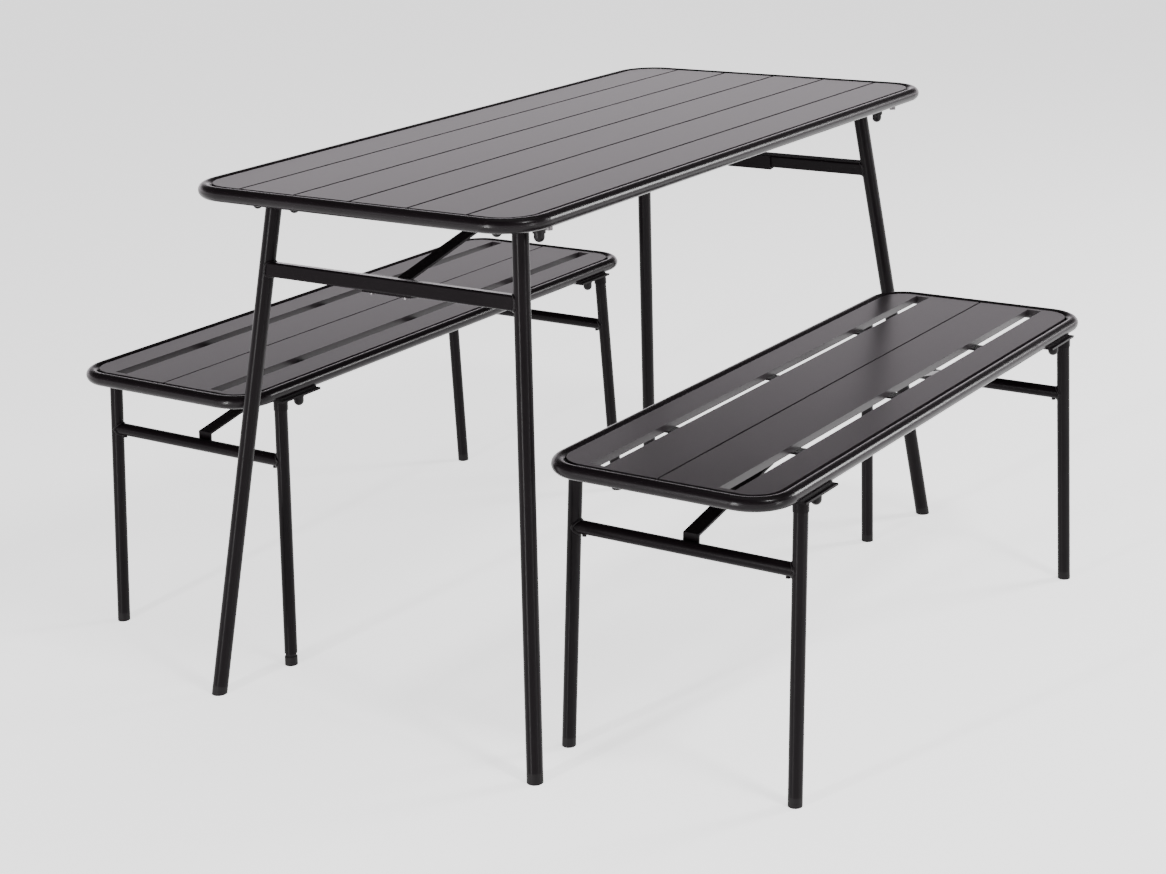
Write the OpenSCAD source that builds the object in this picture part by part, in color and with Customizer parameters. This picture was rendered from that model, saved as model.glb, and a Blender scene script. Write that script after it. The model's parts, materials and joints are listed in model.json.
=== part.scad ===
// Picnic table with two matching benches, painted steel, bolted together, free standing.
// X runs across the set and Y along the table, +Z is up.
// The origin is on the floor under the middle of the table.

/* [Table] */
// Length of the table top over its rim
table_len = 1145; // [1120:5:1240]
// Width of the table top over its rim
table_wid = 555; // [545:5:600]
// Height of the table top
table_hgt = 730; // [715:5:760]
// Diameter of the table's legs
table_leg_d = 22; // [20:0.5:22]
// Corner radius of the table's rim, at the middle of the tube
table_corner = 55; // [40:5:70]
// Distance between the gaps of the table top
slat_pitch = 92; // [88:1:93]
// Gap between two slats of the table top
slat_gap = 4.5; // [3:0.5:6]
// How far the table's feet stand outside the leg tops, across
table_splay_x = 72; // [55:1:75]
// How far the table's feet stand outside the leg tops, lengthwise
table_splay_y = 115; // [90:1:125]

/* [Benches] */
// Length of a bench over its rim
bench_len = 1000; // [980:5:1060]
// Width of a bench over its rim
bench_wid = 342; // [336:1:348]
// Height of a bench
bench_hgt = 416; // [405:1:440]
// Diameter of the benches' legs
bench_leg_d = 19; // [17:0.5:19]
// Corner radius of a bench's rim, at the middle of the tube
bench_corner = 48; // [40:2:60]
// Width of the two wide slots in a bench
slot_wid = 22; // [16:1:24]
// Distance from the middle of a bench to the middle of a slot
slot_x = 93; // [90:1:96]
// Distance from the middle of the table to the middle of a bench
bench_x = 420; // [420:1:480]
// Place of the right bench along the table
right_bench_y = -26; // [-60:1:60]
// Place of the left bench along the table
left_bench_y = -8; // [-60:1:60]

/* [Tube and sheet] */
// Diameter of the rim tubes
rim_d = 19; // [18.5:0.5:20]
// Wall of the tubes
wall = 1.5; // [1:0.1:2]
// Thickness of the slats' sheet
sheet = 1.5; // [1:0.1:2]
// How far the slats lie below the top of the rim
slat_drop = 1; // [0.5:0.5:2]
// Thickness of the bracket plates
plate = 3; // [2.5:0.5:3]

/* [Hidden] */
$fn = 48;
EPS = 0.01;             // a cut runs past a face by this
SEAM = 1;               // gap between the slats and the rim
CAP_HGT = 13;           // visible height of a foot cap
STEM_HGT = 16;          // length of its stem inside the tube
STEM_PLAY = 0.1;        // gap around the stem
BELOW = 6;              // a foot cap is drawn this far past the floor, then cut level
LOOSE_CAP = 5;          // one foot cap stands this far out of its tube
ABOVE = 10;             // a leg is drawn this far past its plate, then cut level
member_wid = 22;
member_t = 3;
tab_len = 13;           // level end of a brace under the middle cross member
screw_d = 4;
head_d = 8;
head_hgt = 2.6;

// Table top
rim_z = table_hgt - rim_d / 2;
rim_x = (table_wid - rim_d) / 2;
rim_low = table_hgt - rim_d;
slat_dep = 10;
slat_low = table_hgt - slat_drop - slat_dep;
member_pitch = 300;
rim_screw_out = table_len / 2 - 72.5;    // two opposite rim screws lie nearer the ends
rim_screw_in = table_len / 2 - 124.5;
rail_y = table_len / 2 - 103.5;

// Table legs; the front ones are drawn and the rear ones lie opposite
leg_top_z = rim_low - plate;
leg_top_x = table_wid / 2 - 76.9;
leg_top_y = rail_y - 3.4;
leg_plate_len = 94;
leg_plate_wid = 32;
leg_plate_x = leg_top_x - 1.8;
nut_x = 32.4;           // from a leg plate's middle to its two capped nuts
stud_d = 6;
table_lean = atan(table_splay_y / leg_top_z);
table_drop = sqrt(table_splay_y * table_splay_y + leg_top_z * leg_top_z);

// Table frames, measured from the leg tops with the legs turned straight down
bar = 20;               // side of the square crossbar
bar_round = 3;
bar_z = -105;
angle_t = 2.5;          // thickness of the brace's foot on the crossbar
angle_wid = 80;
fixing_x = 28;
brace_wid = 22;
brace_t = 3;
brace_x = 15;           // the two braces end side by side
brace_y = leg_top_y - (bar / 2 + angle_t / 2) * cos(table_lean) - (bar_z + bar / 2) * sin(table_lean);
brace_z = leg_top_z - (bar / 2 + angle_t / 2) * sin(table_lean) + (bar_z + bar / 2) * cos(table_lean);
brace_end_z = slat_low - member_t - brace_t / 2;

// Benches
b_rim_z = bench_hgt - rim_d / 2;
b_rim_x = (bench_wid - rim_d) / 2;
b_rim_low = bench_hgt - rim_d;
b_slat_dep = 10;
b_slat_low = bench_hgt - slat_drop - b_slat_dep;
b_mid_gap = 3;
b_slot_len = bench_len - 56;   // between the infills at a slot's ends
b_member_pitch = 275;
b_top_z = b_rim_low - plate;
b_top_x = bench_wid / 2 - 8.5;
b_top_y = bench_len / 2 - 84.2;
b_plate_wid = 26;
b_plate_out = 10.5;     // a leg plate reaches this far outward from the leg's top
b_plate_in = 72.8;      // and this far inward
b_nut_y = 38.8;
b_stud_d = 5;
collar_d = 20.8;        // short collar round the top of a leg
collar_hgt = 13;
bench_splay_x = 7.3;
bench_splay_y = 26.7;
b_lean = atan(bench_splay_y / b_top_z);
b_drop = sqrt(bench_splay_y * bench_splay_y + b_top_z * b_top_z);
b_bar_d = 18.4;
b_bar_z = -88.2;
b_tab_z = -72;          // top of the brace's foot on the crossbar
b_brace_wid = 23;
b_brace_x = 5;
b_brace_y = b_top_y - (b_bar_d / 2 + brace_t / 2) * cos(b_lean) - b_tab_z * sin(b_lean);
b_brace_z = b_top_z - (b_bar_d / 2 + brace_t / 2) * sin(b_lean) + b_tab_z * cos(b_lean);
b_foot_len = b_tab_z - b_bar_z + 6;
b_brace_end_z = b_slat_low - member_t - brace_t / 2;

COAT = "#2b2629";
FACE = "#7b787b";
PLASTIC = "#141214";
METAL = "#55525a";

// ---------- shapes that repeat ----------

// A cylinder along X, centred
module rod_x(d, len) { rotate([0, 90, 0]) cylinder(d = d, h = len, center = true); }

// A cylinder along Y, centred
module rod_y(d, len) { rotate([90, 0, 0]) cylinder(d = d, h = len, center = true); }

// A box given by its lowest and its highest corner
module box(low, high) { translate(low) cube(high - low); }

// Drawn at one end; the rear is the front turned half round
module at_end(end) { rotate([0, 0, end == "rear" ? 180 : 0]) children(); }

module both_ends() { for (end = ["front", "rear"]) at_end(end) children(); }

module both_sides() { for (side = [0, 1]) mirror([side, 0, 0]) children(); }

module bench_at(side) {
  translate([side == "right" ? bench_x : -bench_x, side == "right" ? right_bench_y : left_bench_y, 0])
    children();
}

// A rounded rectangle in the plane
module rounded(wid, len, radius) {
  square([wid - 2 * radius, len], center = true);
  square([wid, len - 2 * radius], center = true);
  for (sx = [-1, 1], sy = [-1, 1])
    translate([sx * (wid / 2 - radius), sy * (len / 2 - radius)]) circle(r = radius);
}

// A closed loop of round bar, as wide and long as its middle line
module loop(wid, len, radius, d) {
  for (side = [-1, 1]) {
    translate([side * wid / 2, 0, 0]) rod_y(d, len - 2 * radius);
    translate([0, side * len / 2, 0]) rod_x(d, wid - 2 * radius);
  }
  for (turn = [0:3]) {
    sx = (turn == 0 || turn == 3) ? 1 : -1;
    sy = turn < 2 ? 1 : -1;
    translate([sx * (wid / 2 - radius), sy * (len / 2 - radius), 0]) rotate([0, 0, turn * 90])
      rotate_extrude(angle = 90) translate([radius, 0]) circle(d = d);
  }
}

// A bent rim tube, hollow all the way round
module rim(wid, len, radius) {
  difference() {
    loop(wid - rim_d, len - rim_d, radius, rim_d);
    loop(wid - rim_d, len - rim_d, radius, rim_d - 2 * wall);
  }
}

// The outline that the slats fill inside a rim
module field(wid, len, radius, inset) {
  cut = 2 * (rim_d + SEAM + inset);
  rounded(wid - cut, len - cut, radius - rim_d / 2 - SEAM - inset);
}

// A pressed pan, open below: its outline, then the outline inside its folded edges
module pan(deep) {
  difference() {
    linear_extrude(deep) children(0);
    translate([0, 0, -EPS]) linear_extrude(deep - sheet + EPS) children(1);
  }
}

// A leg frame, drawn from the leg tops with its legs straight down
module frame_at(y, z, lean) { translate([0, -y, z]) rotate([-lean, 0, 0]) children(); }

// The left and the right leg's own axis, from its top downward
module along_legs(x, splay, drop) {
  both_sides() translate([x, 0, 0]) rotate([0, -atan(splay / drop), 0]) children();
}

// A leg tube down its own axis, open at the foot
module leg_tube(d, len) {
  difference() {
    translate([0, 0, -len]) cylinder(d = d, h = len + ABOVE);
    translate([0, 0, -len - EPS]) cylinder(d = d - 2 * wall, h = len - d);
  }
}

// Foot cap drawn up from the floor point: a stem in the tube and a foot as wide as the tube
module foot_cap(d, out) {
  translate([0, 0, -BELOW]) cylinder(d = d, h = BELOW + CAP_HGT);
  cylinder(d = d - 2 * wall - 2 * STEM_PLAY, h = CAP_HGT + out + STEM_HGT);
}

// Everything below the floor, and everything above a height
module floor_cut(wid, len) { translate([0, 0, -50]) cube([wid, len, 100], center = true); }
module top_cut(z, wid, len) { translate([0, 0, z + 50]) cube([wid, len, 100], center = true); }

// Flat bars across a rim, their ends shaped to its tube
module members(half, low, places, tube_x, tube_z, len) {
  difference() {
    for (y = places) box([-half, y - member_wid / 2, low], [half, y + member_wid / 2, low + member_t]);
    for (side = [-1, 1]) translate([side * tube_x, 0, tube_z]) rod_y(rim_d, len);
    for (side = [-1, 1]) translate([0, side * tab_len / 2, low - 1]) children();
  }
}

// Screw from below: its head under z = 0, its shank above
module screw(len) {
  translate([0, 0, -head_hgt]) cylinder(d = head_d, h = head_hgt);
  cylinder(d = screw_d, h = len);
}

// Half ball hanging down
module dome(radius) {
  rotate_extrude() intersection() {
    circle(r = radius);
    translate([0, -radius]) square(radius);
  }
}

// Plastic cap hanging by its stud, its top at z = 0
module nut_cap(collar_d, collar, cap_d, hgt, stud, stud_hgt) {
  translate([0, 0, -collar]) cylinder(d = collar_d, h = collar);
  translate([0, 0, cap_d / 2 - hgt]) cylinder(d = cap_d, h = hgt - cap_d / 2);
  translate([0, 0, cap_d / 2 - hgt]) dome(cap_d / 2);
  cylinder(d = stud, h = stud_hgt);
}

// Outline of a bent strip: its middle line, moved to one side by t, with mitred bends
function way(a, b) = atan2(b[1] - a[1], b[0] - a[0]);
function moved(p, before, after, t) =
  let (turn = (before + after) / 2, k = t / cos((before - after) / 2))
  [p[0] - k * sin(turn), p[1] + k * cos(turn)];
function edge(line, t) = [for (i = [0:len(line) - 1])
  moved(line[i], way(line[max(i - 1, 0)], line[max(i, 1)]),
        way(line[min(i, len(line) - 2)], line[min(i + 1, len(line) - 1)]), t)];
function turned_round(line) = [for (i = [len(line) - 1:-1:0]) line[i]];

// A flat strip bent along its middle line in the plane of Y and Z
module bent_strip(line, wid, t) {
  rotate([90, 0, 90]) linear_extrude(wid, center = true)
    polygon(concat(edge(line, t / 2), turned_round(edge(line, -t / 2))));
}

// Screw hole in the level end of a brace
module tab_hole(z) { translate([0, -tab_len / 2, z - brace_t]) cylinder(d = screw_d, h = 2 * brace_t); }

// ---------- table top ----------

function rim_screw_at(sx, sy) = [sx * rim_x, sy * (sx == sy ? rim_screw_in : rim_screw_out), rim_low];

module table_rim() {
  color(COAT) difference() {
    translate([0, 0, rim_z]) rim(table_wid, table_len, table_corner);
    for (sx = [-1, 1], sy = [-1, 1])
      translate(rim_screw_at(sx, sy)) translate([0, 0, -2]) cylinder(d = screw_d, h = 5);
  }
}

module table_slat_shape(number, inset) {
  left = (number - 4) * slat_pitch + slat_gap / 2;
  right = (number - 3) * slat_pitch - slat_gap / 2;
  from = number == 1 ? -table_wid / 2 : left + inset;
  to = number == 6 ? table_wid / 2 : right - inset;
  intersection() {
    translate([from, -table_len / 2]) square([to - from, table_len]);
    field(table_wid, table_len, table_corner, inset);
  }
}

module table_slat(number) {
  color(FACE) translate([0, 0, slat_low]) pan(slat_dep) {
    table_slat_shape(number, 0);
    table_slat_shape(number, sheet);
  }
}

module table_slat_1() { table_slat(1); }
module table_slat_2() { table_slat(2); }
module table_slat_3() { table_slat(3); }
module table_slat_4() { table_slat(4); }
module table_slat_5() { table_slat(5); }
module table_slat_6() { table_slat(6); }

// Places of the studs beside each leg
module at_nuts() {
  both_ends() both_sides() for (side = [-1, 1])
    translate([leg_plate_x + side * nut_x, -rail_y, leg_top_z]) children();
}

module table_cross_members() {
  half = table_wid / 2 - rim_d + 4;
  color(COAT) {
    members(half, slat_low - member_t, [-member_pitch, 0, member_pitch], rim_x, rim_z, table_len) {
      for (side = [-1, 1]) translate([side * brace_x, 0, 0]) cylinder(d = screw_d, h = 2 * member_t);
    }
    difference() {
      for (y = [-rail_y, rail_y])
        box([-half, y - member_wid / 2, rim_low], [half, y + member_wid / 2, slat_low]);
      for (side = [-1, 1]) translate([side * rim_x, 0, rim_z]) rod_y(rim_d, table_len);
      at_nuts() cylinder(d = stud_d, h = plate + 6);
    }
  }
}

module table_leg_plates() {
  color(COAT) difference() {
    both_ends() both_sides() translate([leg_plate_x, -rail_y, leg_top_z + plate / 2])
      cube([leg_plate_len, leg_plate_wid, plate], center = true);
    at_nuts() translate([0, 0, -1]) cylinder(d = stud_d, h = plate + 2);
  }
}

module table_nut_caps() { color(PLASTIC) at_nuts() nut_cap(17, 14, 14, 26, stud_d, plate + 6); }

// Screws into the underside of the rim, their heads shaped to the tube
module table_rim_screws() {
  color(METAL) for (sx = [-1, 1], sy = [-1, 1]) translate(rim_screw_at(sx, sy)) difference() {
    union() {
      translate([0, 0, -3.5]) cylinder(d = 9, h = 5);
      cylinder(d = screw_d, h = 4);
    }
    difference() {
      translate([0, 0, rim_d / 2]) rod_y(rim_d, 20);
      translate([0, 0, -2]) cylinder(d = screw_d, h = 8);
    }
  }
}

// ---------- table frames ----------

module table_frame(end) { at_end(end) frame_at(leg_top_y, leg_top_z, table_lean) children(); }

module table_legs(end) {
  reach = sqrt(table_splay_x * table_splay_x + table_drop * table_drop);
  color(COAT) difference() {
    table_frame(end) along_legs(leg_top_x, table_splay_x, table_drop) leg_tube(table_leg_d, reach - CAP_HGT);
    top_cut(leg_top_z, table_wid, table_len);
  }
}

// Square tube between the legs, its ends shaped to them
module table_crossbar(end) {
  reach = leg_top_x - table_splay_x * bar_z / table_drop;
  color(COAT) table_frame(end) difference() {
    translate([-reach, 0, bar_z]) rotate([90, 0, 90]) linear_extrude(2 * reach) difference() {
      rounded(bar, bar, bar_round);
      rounded(bar - 2 * wall, bar - 2 * wall, bar_round - wall);
    }
    along_legs(leg_top_x, table_splay_x, table_drop)
      translate([0, 0, -table_drop / 2]) cylinder(d = table_leg_d, h = table_drop);
    for (side = [-1, 1]) translate([side * fixing_x, 0, bar_z - bar / 2 - 1]) cylinder(d = screw_d, h = 4);
  }
}

module table_foot_caps(end) {
  reach = sqrt(table_splay_x * table_splay_x + table_drop * table_drop);
  color(PLASTIC) difference() {
    table_frame(end) along_legs(leg_top_x, table_splay_x, table_drop)
      translate([0, 0, -reach]) foot_cap(table_leg_d, 0);
    floor_cut(table_wid + 200, table_len + 200);
  }
}

// Brace with a wide foot that wraps the crossbar's inner and lower faces
module table_brace(end) {
  low = bar_z - bar / 2 - angle_t;
  color(COAT) {
    table_frame(end) difference() {
      union() {
        box([-angle_wid / 2, bar / 2, low], [angle_wid / 2, bar / 2 + angle_t, bar_z + bar / 2]);
        box([-angle_wid / 2, -7, low], [angle_wid / 2, bar / 2 + angle_t, low + angle_t]);
      }
      for (side = [-1, 1]) translate([side * fixing_x, 0, low - 1]) cylinder(d = screw_d, h = 5);
    }
    at_end(end) translate([brace_x, 0, 0]) difference() {
      bent_strip([[-brace_y, brace_z - 1], [-tab_len, brace_end_z], [-SEAM, brace_end_z]], brace_wid, brace_t);
      tab_hole(brace_end_z);
    }
  }
}

module table_brace_screws() {
  color(METAL) both_ends() {
    frame_at(leg_top_y, leg_top_z, table_lean) for (side = [-1, 1])
      translate([side * fixing_x, 0, bar_z - bar / 2 - angle_t]) screw(6);
    translate([brace_x, -tab_len / 2, slat_low - member_t - brace_t]) screw(brace_t + member_t);
  }
}

module table_front_legs() { table_legs("front"); }
module table_front_crossbar() { table_crossbar("front"); }
module table_front_foot_caps() { table_foot_caps("front"); }
module table_front_brace() { table_brace("front"); }
module table_rear_legs() { table_legs("rear"); }
module table_rear_crossbar() { table_crossbar("rear"); }
module table_rear_foot_caps() { table_foot_caps("rear"); }
module table_rear_brace() { table_brace("rear"); }

// ---------- benches ----------

module bench_rim(side) {
  color(COAT) bench_at(side) translate([0, 0, b_rim_z]) rim(bench_wid, bench_len, bench_corner);
}

// Slats 1 to 4 from left to right, with a wide slot inside each outer slat
module bench_slat_shape(number, inset) {
  out = number == 1 || number == 4;
  near = (out ? slot_x + slot_wid / 2 : b_mid_gap / 2) + inset;
  far = out ? bench_wid / 2 : slot_x - slot_wid / 2 - inset;
  mirror([number < 3 ? 1 : 0, 0]) intersection() {
    translate([near, -bench_len / 2]) square([far - near, bench_len]);
    field(bench_wid, bench_len, bench_corner, inset);
  }
}

module bench_slat(side, number) {
  color(FACE) bench_at(side) translate([0, 0, b_slat_low]) pan(b_slat_dep) {
    bench_slat_shape(number, 0);
    bench_slat_shape(number, sheet);
  }
}

module bench_slot_end_shape(inset) {
  wid = slot_wid - 2 * inset;
  intersection() {
    translate([slot_x - wid / 2, -bench_len / 2]) square([wid, (bench_len - b_slot_len) / 2 - inset]);
    field(bench_wid, bench_len, bench_corner, inset);
  }
}

// Small pans between the slats that close both slots at their ends
module bench_slot_ends(side) {
  color(FACE) bench_at(side) both_ends() both_sides() translate([0, 0, b_slat_low]) pan(b_slat_dep) {
    bench_slot_end_shape(0);
    bench_slot_end_shape(sheet);
  }
}

module bench_cross_members(side) {
  color(COAT) bench_at(side)
    members(bench_wid / 2 - rim_d + 2, b_slat_low - member_t, [-b_member_pitch, 0, b_member_pitch],
            b_rim_x, b_rim_z, bench_len)
      for (x = [-b_brace_x, b_brace_x]) translate([x, 0, 0]) cylinder(d = screw_d, h = 2 * member_t);
}

module at_bench_legs(side) {
  bench_at(side) both_ends() both_sides() translate([b_top_x, -b_top_y, b_top_z]) children();
}

// Plate along the rim, a saddle on top that fits the tube, and a collar round the leg below
module bench_leg_plates(side) {
  saddle = b_rim_x - b_top_x;
  color(COAT) at_bench_legs(side) difference() {
    union() {
      box([-b_plate_wid / 2, -b_plate_out, 0], [b_plate_wid / 2, b_plate_in, plate]);
      box([saddle - 6, -b_plate_out, plate - 1], [saddle + 6, b_plate_in, plate + 3]);
    }
    translate([saddle, 0, b_rim_z - b_top_z]) rod_y(rim_d, 400);
    translate([0, b_nut_y, -1]) cylinder(d = b_stud_d, h = plate + 0.5);
  }
  color(COAT) difference() {
    for (end = ["front", "rear"]) bench_frame(side, end) along_legs(b_top_x, bench_splay_x, b_drop)
      difference() {
        translate([0, 0, -collar_hgt]) cylinder(d = collar_d, h = collar_hgt + ABOVE);
        translate([0, 0, -collar_hgt - 1]) cylinder(d = bench_leg_d, h = collar_hgt + 2 * ABOVE);
      }
    bench_at(side) top_cut(b_top_z + 0.5, bench_wid + 40, bench_len);
  }
}

module bench_nut_caps(side) {
  color(PLASTIC) at_bench_legs(side) translate([0, b_nut_y, 0])
    nut_cap(16, 4, 14.5, 17, b_stud_d, plate - 0.5);
}

module bench_frame(side, end) { bench_at(side) at_end(end) frame_at(b_top_y, b_top_z, b_lean) children(); }

// The left bench's front right leg ends higher: its foot cap is not pushed home
module bench_legs(side, end) {
  reach = sqrt(bench_splay_x * bench_splay_x + b_drop * b_drop);
  color(COAT) difference() {
    bench_frame(side, end) along_legs(b_top_x, bench_splay_x, b_drop) leg_tube(bench_leg_d, reach - CAP_HGT);
    bench_at(side) top_cut(b_top_z, bench_wid + 40, bench_len);
    if (side == "left" && end == "front") bench_at(side)
      translate([b_top_x + bench_splay_x - 20, -b_top_y - bench_splay_y - 20, 0])
        cube([40, 40, CAP_HGT + LOOSE_CAP]);
  }
}

// Round tube between the legs, its ends shaped to them, with a small plug below each end
module bench_crossbar(side, end) {
  leg_x = b_top_x - bench_splay_x * b_bar_z / b_drop;
  color(COAT) bench_frame(side, end) difference() {
    union() {
      difference() {
        translate([0, 0, b_bar_z]) rod_x(b_bar_d, 2 * leg_x);
        translate([0, 0, b_bar_z]) rod_x(b_bar_d - 2 * wall, 3 * leg_x);
      }
      both_sides() translate([leg_x - bench_leg_d / 2 - 6, 0, b_bar_z - b_bar_d / 2 - 3])
        cylinder(d = 6, h = 3 + wall * 0.6);
    }
    along_legs(b_top_x, bench_splay_x, b_drop)
      translate([0, 0, -b_drop / 2]) cylinder(d = bench_leg_d, h = b_drop);
    translate([b_brace_x, b_bar_d / 2 - 4, b_bar_z]) rotate([-90, 0, 0]) cylinder(d = screw_d, h = 10);
  }
}

module bench_foot_caps(side, end) {
  reach = sqrt(bench_splay_x * bench_splay_x + b_drop * b_drop);
  color(PLASTIC) difference() {
    bench_frame(side, end) along_legs(b_top_x, bench_splay_x, b_drop)
      translate([0, 0, -reach]) foot_cap(bench_leg_d, LOOSE_CAP);
    bench_at(side) floor_cut(bench_wid + 100, bench_len + 100);
  }
}

// Brace bent down at its outer end into a foot on the crossbar's inner side
module bench_brace(side, end) {
  foot = [-b_brace_y - b_foot_len * sin(b_lean), b_brace_z - b_foot_len * cos(b_lean)];
  line = [foot, [-b_brace_y, b_brace_z], [-tab_len, b_brace_end_z], [-SEAM, b_brace_end_z]];
  color(COAT) difference() {
    bench_at(side) at_end(end) translate([b_brace_x, 0, 0]) difference() {
      bent_strip(line, b_brace_wid, brace_t);
      tab_hole(b_brace_end_z);
    }
    bench_frame(side, end) translate([b_brace_x, b_bar_d / 2 - 1, b_bar_z]) rotate([-90, 0, 0])
      cylinder(d = screw_d, h = 10);
  }
}

module bench_brace_screws(side) {
  color(METAL) bench_at(side) both_ends() {
    frame_at(b_top_y, b_top_z, b_lean) translate([b_brace_x, b_bar_d / 2 + brace_t, b_bar_z])
      rotate([90, 0, 0]) screw(brace_t + 4);
    translate([b_brace_x, -tab_len / 2, b_slat_low - member_t - brace_t]) screw(brace_t + member_t);
  }
}

module right_bench_rim() { bench_rim("right"); }
module right_bench_slat_1() { bench_slat("right", 1); }
module right_bench_slat_2() { bench_slat("right", 2); }
module right_bench_slat_3() { bench_slat("right", 3); }
module right_bench_slat_4() { bench_slat("right", 4); }
module right_bench_slot_ends() { bench_slot_ends("right"); }
module right_bench_cross_members() { bench_cross_members("right"); }
module right_bench_leg_plates() { bench_leg_plates("right"); }
module right_bench_nut_caps() { bench_nut_caps("right"); }
module right_bench_front_legs() { bench_legs("right", "front"); }
module right_bench_front_crossbar() { bench_crossbar("right", "front"); }
module right_bench_front_foot_caps() { bench_foot_caps("right", "front"); }
module right_bench_front_brace() { bench_brace("right", "front"); }
module right_bench_rear_legs() { bench_legs("right", "rear"); }
module right_bench_rear_crossbar() { bench_crossbar("right", "rear"); }
module right_bench_rear_foot_caps() { bench_foot_caps("right", "rear"); }
module right_bench_rear_brace() { bench_brace("right", "rear"); }
module right_bench_brace_screws() { bench_brace_screws("right"); }
module left_bench_rim() { bench_rim("left"); }
module left_bench_slat_1() { bench_slat("left", 1); }
module left_bench_slat_2() { bench_slat("left", 2); }
module left_bench_slat_3() { bench_slat("left", 3); }
module left_bench_slat_4() { bench_slat("left", 4); }
module left_bench_slot_ends() { bench_slot_ends("left"); }
module left_bench_cross_members() { bench_cross_members("left"); }
module left_bench_leg_plates() { bench_leg_plates("left"); }
module left_bench_nut_caps() { bench_nut_caps("left"); }
module left_bench_front_legs() { bench_legs("left", "front"); }
module left_bench_front_crossbar() { bench_crossbar("left", "front"); }
module left_bench_front_foot_caps() { bench_foot_caps("left", "front"); }
module left_bench_front_brace() { bench_brace("left", "front"); }
module left_bench_rear_legs() { bench_legs("left", "rear"); }
module left_bench_rear_crossbar() { bench_crossbar("left", "rear"); }
module left_bench_rear_foot_caps() { bench_foot_caps("left", "rear"); }
module left_bench_rear_brace() { bench_brace("left", "rear"); }
module left_bench_brace_screws() { bench_brace_screws("left"); }

// ---------- one line per part ----------

table_rim();
table_slat_1();
table_slat_2();
table_slat_3();
table_slat_4();
table_slat_5();
table_slat_6();
table_cross_members();
table_leg_plates();
table_nut_caps();
table_rim_screws();
table_front_legs();
table_front_crossbar();
table_front_foot_caps();
table_front_brace();
table_rear_legs();
table_rear_crossbar();
table_rear_foot_caps();
table_rear_brace();
table_brace_screws();
right_bench_rim();
right_bench_slat_1();
right_bench_slat_2();
right_bench_slat_3();
right_bench_slat_4();
right_bench_slot_ends();
right_bench_cross_members();
right_bench_leg_plates();
right_bench_nut_caps();
right_bench_front_legs();
right_bench_front_crossbar();
right_bench_front_foot_caps();
right_bench_front_brace();
right_bench_rear_legs();
right_bench_rear_crossbar();
right_bench_rear_foot_caps();
right_bench_rear_brace();
right_bench_brace_screws();
left_bench_rim();
left_bench_slat_1();
left_bench_slat_2();
left_bench_slat_3();
left_bench_slat_4();
left_bench_slot_ends();
left_bench_cross_members();
left_bench_leg_plates();
left_bench_nut_caps();
left_bench_front_legs();
left_bench_front_crossbar();
left_bench_front_foot_caps();
left_bench_front_brace();
left_bench_rear_legs();
left_bench_rear_crossbar();
left_bench_rear_foot_caps();
left_bench_rear_brace();
left_bench_brace_screws();
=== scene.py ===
import json
import math

import bmesh
import bpy
from mathutils import Matrix, Vector


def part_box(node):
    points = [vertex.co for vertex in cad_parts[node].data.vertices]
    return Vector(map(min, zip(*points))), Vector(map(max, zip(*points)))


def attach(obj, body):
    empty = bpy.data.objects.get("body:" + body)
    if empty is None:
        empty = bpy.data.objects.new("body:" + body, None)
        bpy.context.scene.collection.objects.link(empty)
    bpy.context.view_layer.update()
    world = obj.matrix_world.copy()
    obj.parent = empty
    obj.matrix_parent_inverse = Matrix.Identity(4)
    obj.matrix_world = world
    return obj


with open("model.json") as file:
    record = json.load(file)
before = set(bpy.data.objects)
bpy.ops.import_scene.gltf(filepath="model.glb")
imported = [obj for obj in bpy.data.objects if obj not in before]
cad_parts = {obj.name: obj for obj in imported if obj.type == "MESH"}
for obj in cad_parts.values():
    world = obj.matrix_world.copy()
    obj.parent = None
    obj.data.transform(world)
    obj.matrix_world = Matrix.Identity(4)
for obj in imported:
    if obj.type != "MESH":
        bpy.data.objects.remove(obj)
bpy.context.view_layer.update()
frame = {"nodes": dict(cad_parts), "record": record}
nodes = frame["nodes"]
record = frame["record"]
MM = 0.001


# ---------- camera ----------

FOCAL_MM = 67.53
SENSOR_MM = 36.0
SHIFT_X, SHIFT_Y = 0.0273, 0.0112
CAM_AT = Vector((1.752, -2.6462, 1.2839))
YAW, DOWN, ROLL = math.radians(-34.8132), math.radians(18.2019), math.radians(-1.9693)
FAR_CLIP = 60.0


def make_camera():
    data = bpy.data.cameras.new("camera")
    data.sensor_width = SENSOR_MM
    data.lens = FOCAL_MM
    data.shift_x = SHIFT_X
    data.shift_y = SHIFT_Y
    data.clip_end = FAR_CLIP
    cam = bpy.data.objects.new("camera", data)
    bpy.context.collection.objects.link(cam)
    ahead = Vector((math.sin(YAW) * math.cos(DOWN), math.cos(YAW) * math.cos(DOWN), -math.sin(DOWN)))
    level = ahead.cross(Vector((0, 0, 1))).normalized()
    upright = level.cross(ahead)
    right = math.cos(ROLL) * level + math.sin(ROLL) * upright
    up = -math.sin(ROLL) * level + math.cos(ROLL) * upright
    turn = Matrix((right, up, -ahead)).transposed().to_4x4()
    cam.matrix_world = Matrix.Translation(CAM_AT) @ turn
    bpy.context.scene.camera = cam


# ---------- materials ----------

PATCH_SCALE = 9.0               # soft colour patches, per metre
TONE_FROM, TONE_TO = 0.3, 0.75  # the stretch of the patch noise that runs from dark to light
EDGE_FROM, EDGE_TO = 0.56, 0.72  # pointiness at which an edge starts to wear, and is fully worn
BARE = (0.24, 0.23, 0.23, 1)    # colour of a worn edge
BUMP_M = 0.2 * MM               # height of the grain at full strength


def link(tree, a, out, b, into):
    tree.links.new(a.outputs[out], b.inputs[into])


def node(tree, kind, at, **values):
    """A new shader node at a place in the editor; a value's name has _ for each space."""
    n = tree.nodes.new(kind)
    n.location = at
    for key, value in values.items():
        n.inputs[key.replace("_", " ")].default_value = value
    return n


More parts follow.
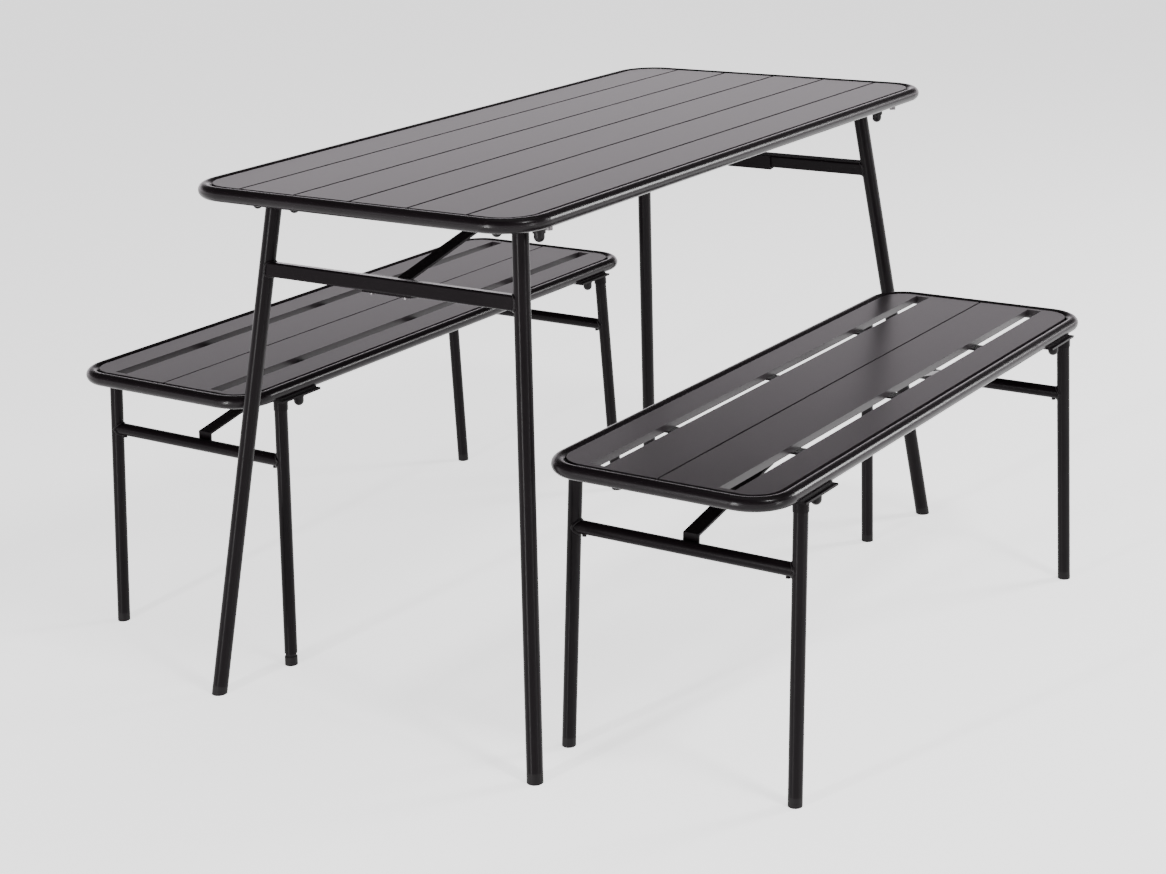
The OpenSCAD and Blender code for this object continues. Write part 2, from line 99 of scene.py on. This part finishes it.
def coat(name, dark, light, rough, spread, grain, bump, wear=0.0, metal=0.0, shine=0.4, drawn=0.0):
    """Painted or moulded surface: soft patches from dark to light, fine grain, and worn edges.

    rough varies by spread with the grain, which has grain lumps per metre. drawn stretches the
    gloss along Z, as on a drawn upright tube.
    """
    m = bpy.data.materials.new(name)
    m.use_nodes = True
    t = m.node_tree
    t.nodes.clear()
    out = node(t, "ShaderNodeOutputMaterial", (900, 0))
    bsdf = node(t, "ShaderNodeBsdfPrincipled", (600, 0), Metallic=metal,
                Specular_IOR_Level=shine, Anisotropic=drawn)
    if drawn:
        upright = node(t, "ShaderNodeCombineXYZ", (300, -450), Z=1.0)
        link(t, upright, "Vector", bsdf, "Tangent")
    link(t, bsdf, "BSDF", out, "Surface")

    place = node(t, "ShaderNodeTexCoord", (-900, 0))
    patch = node(t, "ShaderNodeTexNoise", (-600, 200), Scale=PATCH_SCALE, Detail=4.0, Roughness=0.55)
    fine = node(t, "ShaderNodeTexNoise", (-600, -200), Scale=grain, Detail=3.0, Roughness=0.6)
    link(t, place, "Object", patch, "Vector")
    link(t, place, "Object", fine, "Vector")
    tone = node(t, "ShaderNodeValToRGB", (-300, 250))
    low, high = tone.color_ramp.elements
    low.position, low.color = TONE_FROM, (*dark, 1)
    high.position, high.color = TONE_TO, (*light, 1)
    link(t, patch, "Fac", tone, "Fac")

    shape = node(t, "ShaderNodeNewGeometry", (-600, 500))
    edge = node(t, "ShaderNodeMapRange", (-300, 550), From_Min=EDGE_FROM, From_Max=EDGE_TO, To_Max=wear)
    worn = node(t, "ShaderNodeMixRGB", (0, 300), Color2=BARE)
    link(t, shape, "Pointiness", edge, "Value")
    link(t, edge, "Result", worn, "Fac")
    link(t, tone, "Color", worn, "Color1")
    link(t, worn, "Color", bsdf, "Base Color")

    sheen = node(t, "ShaderNodeMapRange", (0, 0), To_Min=rough - spread, To_Max=rough + spread)
    link(t, fine, "Fac", sheen, "Value")
    link(t, sheen, "Result", bsdf, "Roughness")
    lumps = node(t, "ShaderNodeBump", (300, -250), Strength=bump, Distance=BUMP_M)
    link(t, fine, "Fac", lumps, "Height")
    link(t, lumps, "Normal", bsdf, "Normal")
    return m


POWDER = 900.0      # grains per metre in powder coat
MOULDED = 1400.0    # in moulded rubber and plastic

FRAME_COAT = coat("frame_coat", (0.0030, 0.0021, 0.0026), (0.0045, 0.0034, 0.0040),
                  rough=0.26, spread=0.04, grain=POWDER, bump=0.20, shine=0.06)
SLAT_COAT = coat("slat_coat", (0.014, 0.0108, 0.0127), (0.017, 0.0136, 0.0156),
                 rough=0.33, spread=0.04, grain=POWDER, bump=0.10, shine=0.26)
LEG_COAT = coat("leg_coat", (0.0030, 0.0021, 0.0026), (0.0045, 0.0034, 0.0040),
                rough=0.36, spread=0.04, grain=POWDER, bump=0.12, shine=0.08, drawn=0.85)
RIM_COAT = coat("rim_coat", (0.004, 0.0029, 0.0035), (0.006, 0.0045, 0.0053),
                rough=0.26, spread=0.04, grain=POWDER, bump=0.12, shine=0.14)
FOOT = coat("foot_rubber", (0.0045, 0.0036, 0.0040), (0.0070, 0.0060, 0.0065),
            rough=0.55, spread=0.08, grain=MOULDED, bump=0.5, shine=0.12)
CAP = coat("cap_plastic", (0.0035, 0.0028, 0.0032), (0.0055, 0.0045, 0.0050),
           rough=0.32, spread=0.06, grain=MOULDED, bump=0.3, shine=0.12)
STEEL = coat("fixing_steel", (0.06, 0.055, 0.058), (0.10, 0.095, 0.098),
             rough=0.35, spread=0.08, grain=700.0, bump=0.3, wear=0.4, metal=1.0)
WELD = coat("weld_coat", (0.0035, 0.0026, 0.0031), (0.0055, 0.0043, 0.0049),
            rough=0.34, spread=0.08, grain=260.0, bump=0.6, shine=0.10)

# What each slot of the record looks like, and how widely its edges are rounded
FINISH = {
    "frame_coat": (FRAME_COAT, 0.4 * MM),
    "slat_coat": (SLAT_COAT, 1.1 * MM),
    "foot_rubber": (FOOT, 2.6 * MM),
    "cap_plastic": (CAP, 0.6 * MM),
    "fixing_steel": (STEEL, 0.4 * MM),
}
# The same paint on the bent rims and the drawn legs takes the light differently
SPECIAL = {"rim": RIM_COAT, "legs": LEG_COAT}


def dress_cad():
    """Every CAD node gets its slot's material and softly broken edges."""
    for part in record["subparts"]:
        o = nodes[part["node"]]
        finish, soft = FINISH[part["material_slot"]]
        finish = SPECIAL.get(part["node"].split("_")[-1], finish)
        for s in o.material_slots:
            s.material = finish
        if not o.material_slots:
            o.data.materials.append(finish)
        bevel = o.modifiers.new("edges", "BEVEL")
        bevel.width = soft
        bevel.segments = 3
        bevel.limit_method = "ANGLE"
        bevel.angle_limit = math.radians(38)
        even = o.modifiers.new("normals", "WEIGHTED_NORMAL")
        even.keep_sharp = True


# ---------- weld beads ----------

# A frame's right end, in mm from the middle of its own table or bench, as in the part's source:
# top of the leg, how far its foot stands out from there, radius of leg and crossbar, drop of the
# crossbar below the leg's top along the frame, and the exponent of the crossbar's section, 1 for
# round and less for square
TABLE_FRAME = dict(top=(200.6, 465.6, 708.0), foot=(72.0, 115.0), leg=11.0, bar=10.0, drop=105.0, square=0.45)
BENCH_FRAME = dict(top=(162.5, 415.8, 394.0), foot=(7.3, 26.7), leg=9.5, bar=9.2, drop=88.2, square=1.0)
TABLE_BEAD, BENCH_BEAD = 2.2, 2.0   # radius of the beads
TURNS = 48                          # rings along a bead
ROUND = 10                          # points round it


def saddle(f):
    """Closed curve where the crossbar meets the front right leg, in mm."""
    lean = math.atan2(f["foot"][1], f["top"][2])
    splay = math.atan2(f["foot"][0], math.hypot(f["foot"][1], f["top"][2]))
    points = []
    for i in range(TURNS):
        t = 2 * math.pi * i / TURNS
        c, n = math.cos(t), math.sin(t)
        y = f["bar"] * math.copysign(abs(c) ** f["square"], c)
        up = f["bar"] * math.copysign(abs(n) ** f["square"], n)
        middle = f["top"][0] + (f["drop"] - up) * math.tan(splay)
        x = middle - math.sqrt(f["leg"] ** 2 - y * y) / math.cos(splay)
        points.append(Vector((x, y, up - f["drop"])))
    tip = Matrix.Rotation(-lean, 3, "X")
    at = Vector((0, -f["top"][1], f["top"][2]))
    return [at + tip @ p for p in points]


def ripple(i):
    """How the bead's thickness varies from ring to ring, like the runs of a hand weld."""
    return 1 + 0.10 * math.sin(i * 2.1) + 0.05 * math.sin(i * 0.9 + 1.3)


def bead(name, curve, thick, centre, side, end, body):
    """A rippled bead along a closed curve; side and end of -1 put it on the left and at the rear."""
    mesh = bmesh.new()
    rings = []
    count = len(curve)
    middle = sum(curve, Vector()) / count
    for i, p in enumerate(curve):
        along = (curve[(i + 1) % count] - curve[i - 1]).normalized()
        out = (p - middle).normalized()
        a = along.cross(out).normalized()
        b = along.cross(a)
        r = thick * ripple(i)
        ring = []
        for k in range(ROUND):
            w = 2 * math.pi * k / ROUND
            q = p + r * (math.cos(w) * a + math.sin(w) * b)
            ring.append(mesh.verts.new(Vector((q.x * side, q.y * end, q.z)) * MM + centre))
        rings.append(ring)
    for i in range(count):
        one, two = rings[i], rings[(i + 1) % count]
        for k in range(ROUND):
            mesh.faces.new((one[k], one[(k + 1) % ROUND], two[(k + 1) % ROUND], two[k]))
    bmesh.ops.recalc_face_normals(mesh, faces=mesh.faces)
    data = bpy.data.meshes.new(name)
    mesh.to_mesh(data)
    mesh.free()
    for face in data.polygons:
        face.use_smooth = True
    data.materials.append(WELD)
    o = bpy.data.objects.new(name, data)
    bpy.context.collection.objects.link(o)
    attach(o, body)


def welds():
    """A bead at both ends of every crossbar, placed from the middle of the body's rim."""
    for body, f, thick in (("table", TABLE_FRAME, TABLE_BEAD), ("right_bench", BENCH_FRAME, BENCH_BEAD),
                           ("left_bench", BENCH_FRAME, BENCH_BEAD)):
        low, high = (Vector(v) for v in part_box(body + "_rim"))
        centre = (low + high) / 2
        centre.z = 0
        curve = saddle(f)
        for end_name, end in (("front", 1), ("rear", -1)):
            for side_name, side in (("right", 1), ("left", -1)):
                bead("%s_%s_%s_weld" % (body, end_name, side_name), curve, thick, centre, side, end, body)


# ---------- light and floor ----------

FLOOR_SIZE = 40
FLOOR_GREY = (0.9, 0.9, 0.9, 1)
FLOOR_GLOW = 1.5
SKY = 4.0                   # strength of the background; the steps below are divided by it
TINT = (1.0, 0.935, 0.985)  # of the sky, a little purple
# Brightness of the sky by the sine of the height above the horizon
SKY_STEPS = ((0.0, 2.7), (0.17, 2.5), (0.205, 1.4), (0.25, 0.95), (0.29, 0.42), (0.36, 0.15), (0.9, 0.06))
# Softboxes: place, what they face, width, height and power in watts
LIGHTS = {
    "back_right": ((2.6, 3.2, 1.9), (0, 0, 0.5), 1.0, 1.0, 130),
    "front": ((-0.4, -3.6, 0.8), (0, 0, 0.4), 0.16, 1.7, 110),
    "right": ((3.6, -0.6, 0.8), (0, 0, 0.4), 0.2, 1.7, 35),
    "right_high": ((2.2, -0.7, 3.0), (0.2, -0.3, 0.6), 0.4, 0.4, 50),
    "top": ((0, 0.3, 3.6), (0, 0, 0), 2.4, 2.4, 10),
}


def softbox(name, at, toward, wide, high, power):
    data = bpy.data.lights.new(name, "AREA")
    data.shape = "RECTANGLE"
    data.size, data.size_y = wide, high
    data.energy = power
    o = bpy.data.objects.new(name, data)
    bpy.context.collection.objects.link(o)
    o.location = at
    o.rotation_euler = (Vector(toward) - Vector(at)).to_track_quat("-Z", "Y").to_euler()
    o.visible_camera = False


def sky():
    """A pale band near the horizon that dims upward, as in a white studio with a dark ceiling."""
    world = bpy.data.worlds.new("studio")
    bpy.context.scene.world = world
    world.use_nodes = True
    t = world.node_tree
    back = t.nodes["Background"]
    back.inputs["Strength"].default_value = SKY
    place = node(t, "ShaderNodeTexCoord", (-900, 0))
    parts = node(t, "ShaderNodeSeparateXYZ", (-700, 0))
    link(t, place, "Generated", parts, "Vector")
    ramp = node(t, "ShaderNodeValToRGB", (-450, 0))
    while len(ramp.color_ramp.elements) < len(SKY_STEPS):
        ramp.color_ramp.elements.new(0.5)
    for e, (at, level) in zip(ramp.color_ramp.elements, SKY_STEPS):
        e.position = at
        e.color = (*(level / SKY * c for c in TINT), 1)
    link(t, parts, "Z", ramp, "Fac")
    link(t, ramp, "Color", back, "Color")


def make_floor():
    bpy.ops.mesh.primitive_plane_add(size=FLOOR_SIZE, location=(0, 0, 0))
    floor = bpy.context.object
    floor.name = "floor"
    m = bpy.data.materials.new("floor")
    m.use_nodes = True
    b = m.node_tree.nodes["Principled BSDF"]
    b.inputs["Base Color"].default_value = FLOOR_GREY
    b.inputs["Roughness"].default_value = 0.9
    b.inputs["Specular IOR Level"].default_value = 0.0
    b.inputs["Emission Color"].default_value = (1, 1, 1, 1)
    b.inputs["Emission Strength"].default_value = FLOOR_GLOW
    floor.data.materials.append(m)


make_camera()
dress_cad()
welds()
sky()
make_floor()
for name, settings in LIGHTS.items():
    softbox(name, *settings)
